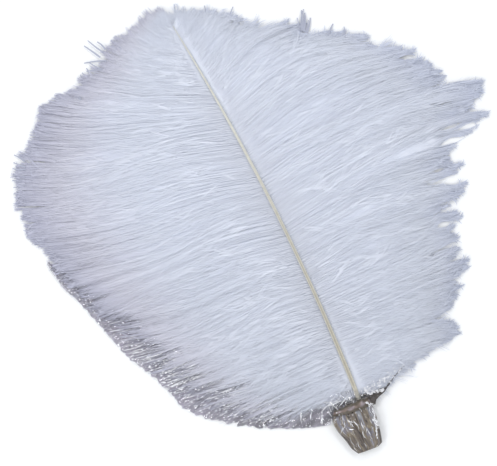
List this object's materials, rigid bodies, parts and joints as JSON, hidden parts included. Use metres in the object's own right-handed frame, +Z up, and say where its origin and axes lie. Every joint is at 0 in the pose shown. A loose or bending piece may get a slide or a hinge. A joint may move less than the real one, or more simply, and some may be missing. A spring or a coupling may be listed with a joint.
{
  "type": "ostrich feather",
  "caption": "White ostrich plume lying flat, with soft wide vanes in locks on a curved shaft, its quill end gathered in clear film under a band.",
  "frame": {"origin": "on the surface that the plume lies on, below the middle of the whole object's box", "axes": "+Y runs along the shaft from the quill end to the tip, +X points to the right vane, and +Z is up, away from the surface"},
  "size_m": [0.3476, 0.3529, 0.0114],
  "materials": {
    "barbs": "matte",
    "shaft": "satin",
    "film": "gloss",
    "band": "satin"
  },
  "bodies": {
    "root": {"feather": "barbs", "film_wrap": "film", "band": "band"}
  },
  "joints": []
}
